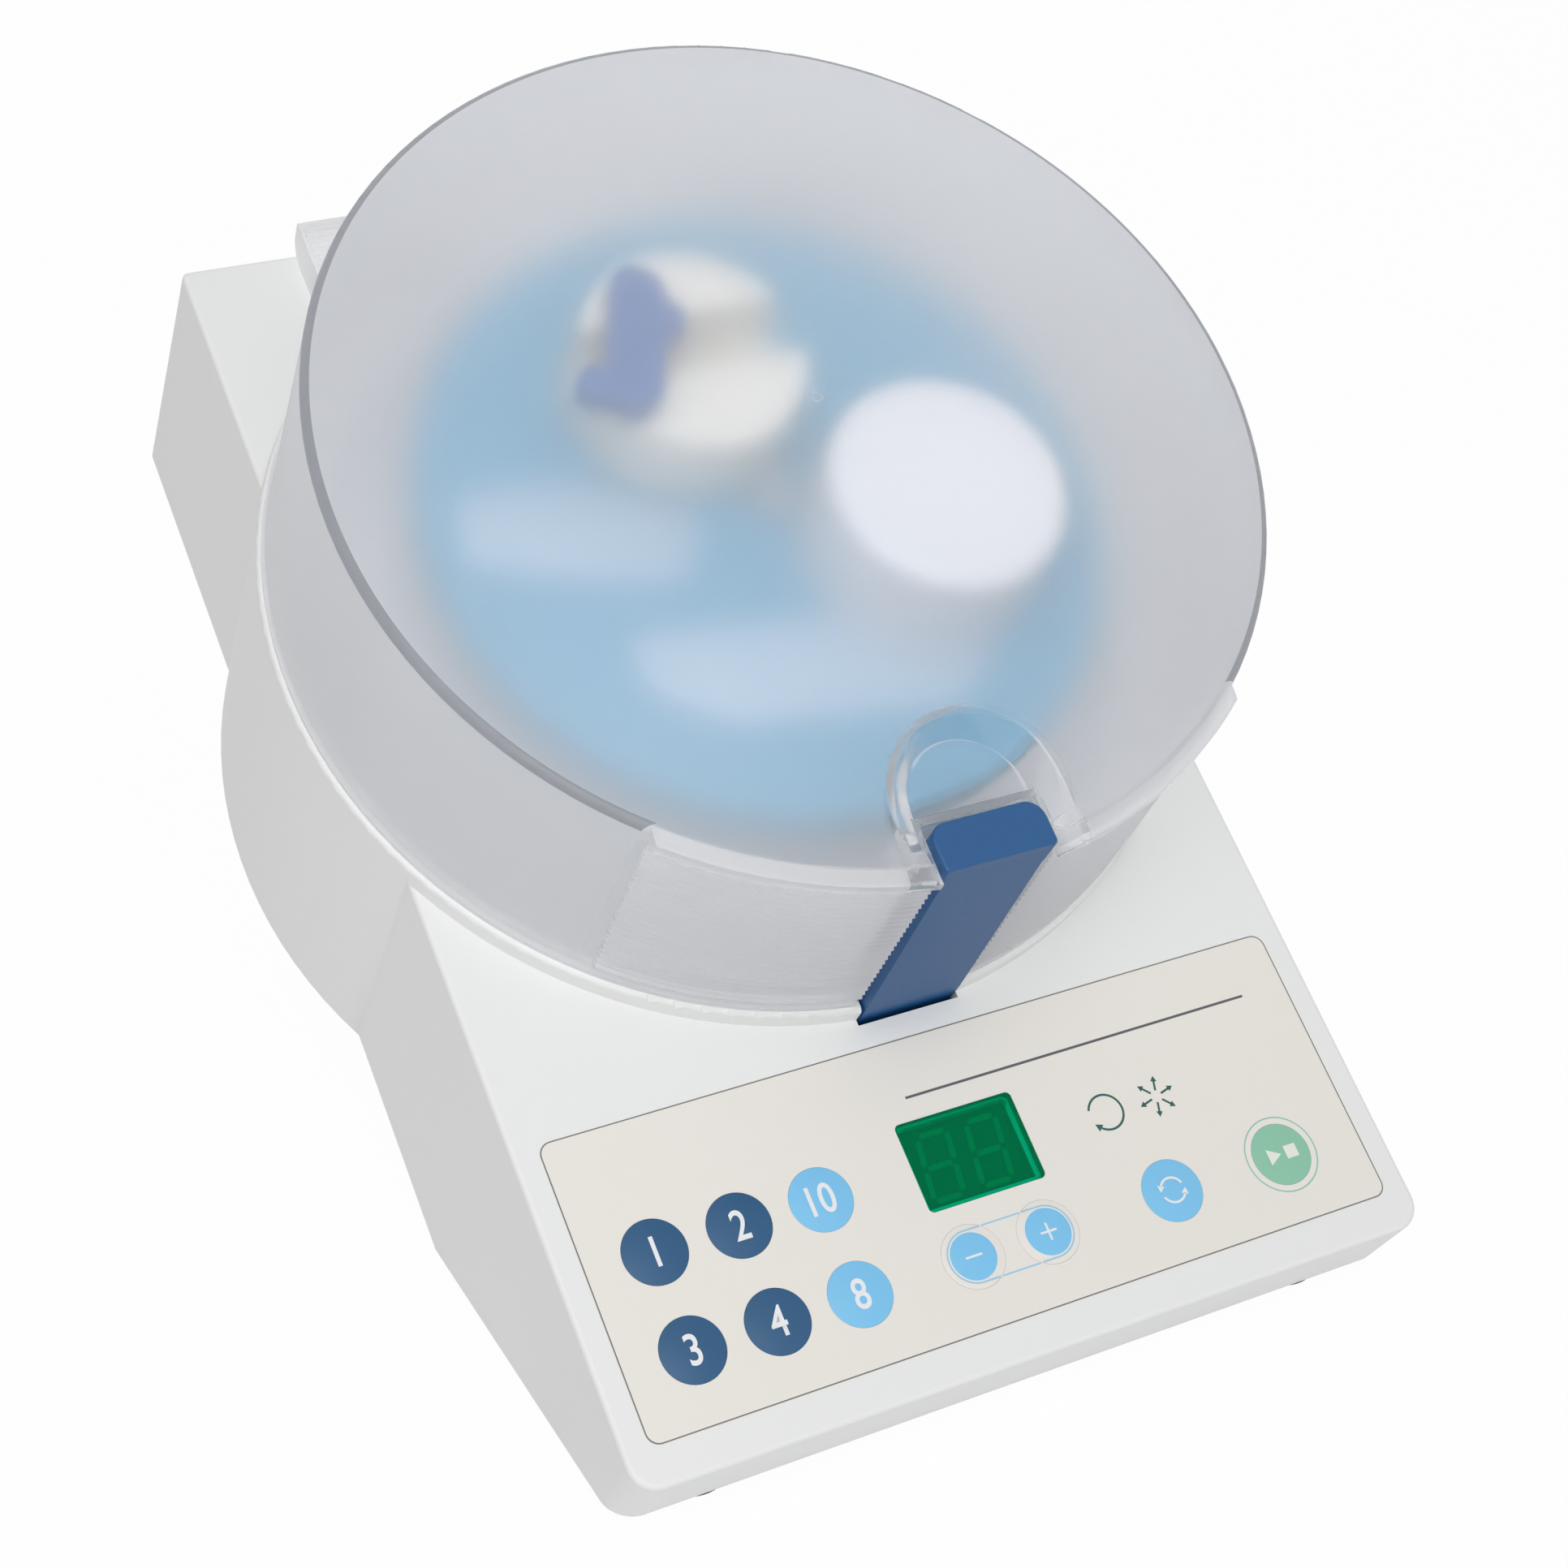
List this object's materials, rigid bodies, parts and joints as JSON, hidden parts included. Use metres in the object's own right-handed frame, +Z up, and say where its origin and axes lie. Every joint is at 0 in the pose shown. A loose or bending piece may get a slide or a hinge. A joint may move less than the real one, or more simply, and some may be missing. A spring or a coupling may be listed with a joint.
{
  "type": "dental capsule mixer",
  "caption": "Bench-top rotary capsule mixer: sloped keypad console carrying a round drum with a frosted hinged lid, a front latch and a planetary rotor inside",
  "frame": {"origin": "on the table under the middle of the overall box", "axes": "+X to the user's right, +Y away from the user, +Z up"},
  "size_m": [0.1872, 0.2551, 0.2156],
  "materials": {
    "housing_plastic": "fine-grained warm white moulded housing",
    "base_plastic": "plain warm white moulding",
    "frosted_lid": "frosted translucent moulding, slightly cloudy",
    "latch_blue": "dark blue, fine texture",
    "key_dark_blue": "satin dark blue",
    "key_light_blue": "satin light blue",
    "key_green": "satin green",
    "label_cream": "smooth printed label",
    "window_green": "clear green display window",
    "led_grey": "unlit light segments",
    "rubber_black": "dull black rubber",
    "seal_rubber": "soft grey seal",
    "steel": "bright steel",
    "case_metal": "dark grey painted metal",
    "motor_iron": "bare iron",
    "rotor_blue": "satin light blue",
    "holder_beige": "satin beige white",
    "white_plastic": "satin white",
    "brass": "plain brass",
    "black_plastic": "black moulding",
    "board_green": "coated circuit board",
    "copper": "wound copper"
  },
  "bodies": {
    "housing": {"upper_housing": "housing_plastic", "base_housing": "base_plastic", "rubber_feet": "rubber_black", "base_screws": "steel", "control_label": "label_cream", "display_window": "window_green", "dome_switches": "steel", "control_board": "board_green", "board_standoffs": "white_plastic", "led_display": "black_plastic", "led_digits": "led_grey", "lid_seal": "seal_rubber", "lid_sensor": "white_plastic", "latch_pin": "steel", "hinge_pins": "steel", "chamber_bowl": "white_plastic", "bearing_plate": "white_plastic", "shaft_bearings": "steel", "sun_wheel": "holder_beige", "motor_case": "case_metal", "stator": "motor_iron", "motor_flange": "steel", "motor_mounts": "rubber_black", "motor_screws": "steel", "mains_inlet": "black_plastic", "inlet_pins": "brass", "fuse_holder": "black_plastic", "switch_frame": "black_plastic", "transformer_core": "motor_iron", "transformer_coil": "copper", "power_board": "board_green"},
    "lid_body": {"lid": "frosted_lid", "lid_magnet": "steel"},
    "latch_body": {"latch_lever": "latch_blue", "latch_spring": "steel"},
    "rotor_body": {"rotor_disc": "rotor_blue", "rotor_nut": "steel", "counterweight_cap": "white_plastic", "balance_weight": "brass", "planet_bush": "brass", "drive_shaft": "steel", "armature": "motor_iron"},
    "planet_body": {"planet_shaft": "steel", "planet_wheel": "white_plastic", "planet_tyre": "rubber_black", "capsule_holder": "holder_beige", "clamp_pin": "steel"},
    "clamp_body": {"clamp_lever": "latch_blue"},
    "drawer_body": {"fuse_drawer": "black_plastic"},
    "rocker_body": {"mains_switch": "black_plastic"},
    "preset_key_1_body": {"preset_key_1": "key_dark_blue"},
    "preset_key_2_body": {"preset_key_2": "key_dark_blue"},
    "time_key_10_body": {"time_key_10": "key_light_blue"},
    "preset_key_3_body": {"preset_key_3": "key_dark_blue"},
    "preset_key_4_body": {"preset_key_4": "key_dark_blue"},
    "time_key_8_body": {"time_key_8": "key_light_blue"},
    "minus_key_body": {"minus_key": "key_light_blue"},
    "plus_key_body": {"plus_key": "key_light_blue"},
    "mode_key_body": {"mode_key": "key_light_blue"},
    "start_key_body": {"start_key": "key_green"}
  },
  "joints": [
    {"name": "lid_hinge", "type": "hinge", "parent": "housing", "child": "lid_body", "pos_m": [0, 0.07455, 0.17416], "axis": [-1, 0, 0], "range_deg": [0, 80]},
    {"name": "latch_hinge", "type": "hinge", "parent": "housing", "child": "latch_body", "pos_m": [0, -0.06534, 0.05759], "axis": [1, 0, 0], "range_deg": [0, 9], "stiffness_Nm_per_rad": 0.3, "springref_deg": -2.86},
    {"name": "rotor_spin", "type": "hinge", "parent": "housing", "child": "rotor_body", "pos_m": [0, -0.01448, 0.13814], "axis": [0, -0.5948, 0.8039], "continuous": true},
    {"name": "planet_spin", "type": "hinge", "parent": "rotor_body", "child": "planet_body", "pos_m": [-0.01011, 0.00564, 0.15303], "axis": [0, -0.5948, 0.8039], "continuous": true},
    {"name": "clamp_hinge", "type": "hinge", "parent": "planet_body", "child": "clamp_body", "pos_m": [-0.02661, -0.01428, 0.16566], "axis": [0, -0.5948, 0.8039], "range_deg": [0, 30]},
    {"name": "fuse_slide", "type": "slide", "parent": "housing", "child": "drawer_body", "axis": [0, 1, 0], "range_m": [0, 0.014]},
    {"name": "switch_hinge", "type": "hinge", "parent": "housing", "child": "rocker_body", "pos_m": [0.02, 0.095, 0.036], "axis": [-1, 0, 0], "range_deg": [0, 14]},
    {"name": "preset_key_1_press", "type": "slide", "parent": "housing", "child": "preset_key_1_body", "axis": [0, 0.5948, -0.8039], "range_m": [0, 0.0004], "stiffness_N_per_m": 2500, "springref_m": -0.0002},
    {"name": "preset_key_2_press", "type": "slide", "parent": "housing", "child": "preset_key_2_body", "axis": [0, 0.5948, -0.8039], "range_m": [0, 0.0004], "stiffness_N_per_m": 2500, "springref_m": -0.0002},
    {"name": "time_key_10_press", "type": "slide", "parent": "housing", "child": "time_key_10_body", "axis": [0, 0.5948, -0.8039], "range_m": [0, 0.0004], "stiffness_N_per_m": 2500, "springref_m": -0.0002},
    {"name": "preset_key_3_press", "type": "slide", "parent": "housing", "child": "preset_key_3_body", "axis": [0, 0.5948, -0.8039], "range_m": [0, 0.0004], "stiffness_N_per_m": 2500, "springref_m": -0.0002},
    {"name": "preset_key_4_press", "type": "slide", "parent": "housing", "child": "preset_key_4_body", "axis": [0, 0.5948, -0.8039], "range_m": [0, 0.0004], "stiffness_N_per_m": 2500, "springref_m": -0.0002},
    {"name": "time_key_8_press", "type": "slide", "parent": "housing", "child": "time_key_8_body", "axis": [0, 0.5948, -0.8039], "range_m": [0, 0.0004], "stiffness_N_per_m": 2500, "springref_m": -0.0002},
    {"name": "minus_key_press", "type": "slide", "parent": "housing", "child": "minus_key_body", "axis": [0, 0.5948, -0.8039], "range_m": [0, 0.0004], "stiffness_N_per_m": 2500, "springref_m": -0.0002},
    {"name": "plus_key_press", "type": "slide", "parent": "housing", "child": "plus_key_body", "axis": [0, 0.5948, -0.8039], "range_m": [0, 0.0004], "stiffness_N_per_m": 2500, "springref_m": -0.0002},
    {"name": "mode_key_press", "type": "slide", "parent": "housing", "child": "mode_key_body", "axis": [0, 0.5948, -0.8039], "range_m": [0, 0.0004], "stiffness_N_per_m": 2500, "springref_m": -0.0002},
    {"name": "start_key_press", "type": "slide", "parent": "housing", "child": "start_key_body", "axis": [0, 0.5948, -0.8039], "range_m": [0, 0.0004], "stiffness_N_per_m": 2500, "springref_m": -0.0002}
  ],
  "couplings": [
    {"joint": "planet_spin", "follows": "rotor_spin", "ratio": 2}
  ]
}
